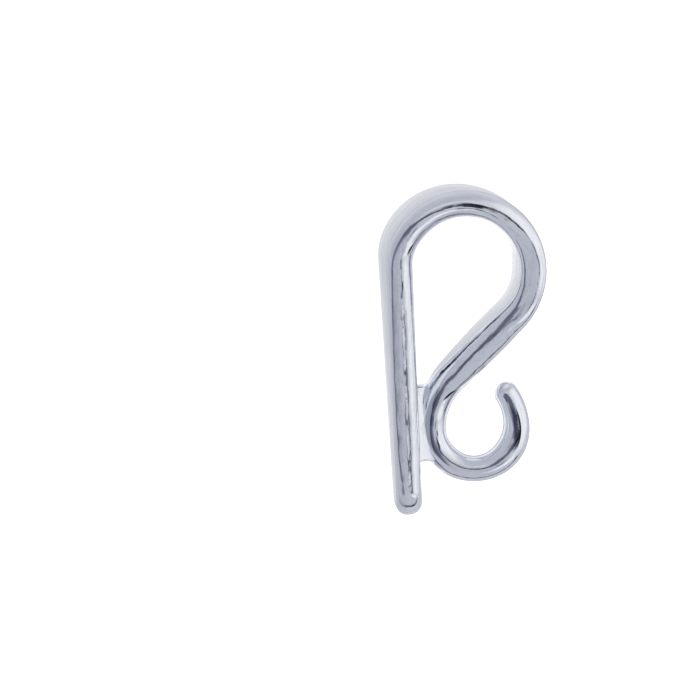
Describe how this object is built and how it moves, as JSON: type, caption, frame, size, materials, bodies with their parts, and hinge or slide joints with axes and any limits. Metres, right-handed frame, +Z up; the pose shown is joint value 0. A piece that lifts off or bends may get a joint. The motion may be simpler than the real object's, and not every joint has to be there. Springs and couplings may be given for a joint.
{
  "type": "pendant bail",
  "caption": "Tapered silver bail bent from a strip: rounded front plate, round loop for a chain, and an open hook behind for a pendant.",
  "frame": {"origin": "middle of the bail's box, on the surface that it lies on", "axes": "+Z up, across the strip; +Y towards the crown, along the bail's height; the front plate is at -X and the hook at +X"},
  "size_m": [0.0052, 0.0102, 0.0048],
  "materials": {
    "silver": "polished"
  },
  "bodies": {
    "root": {"bail": "silver"}
  },
  "joints": []
}
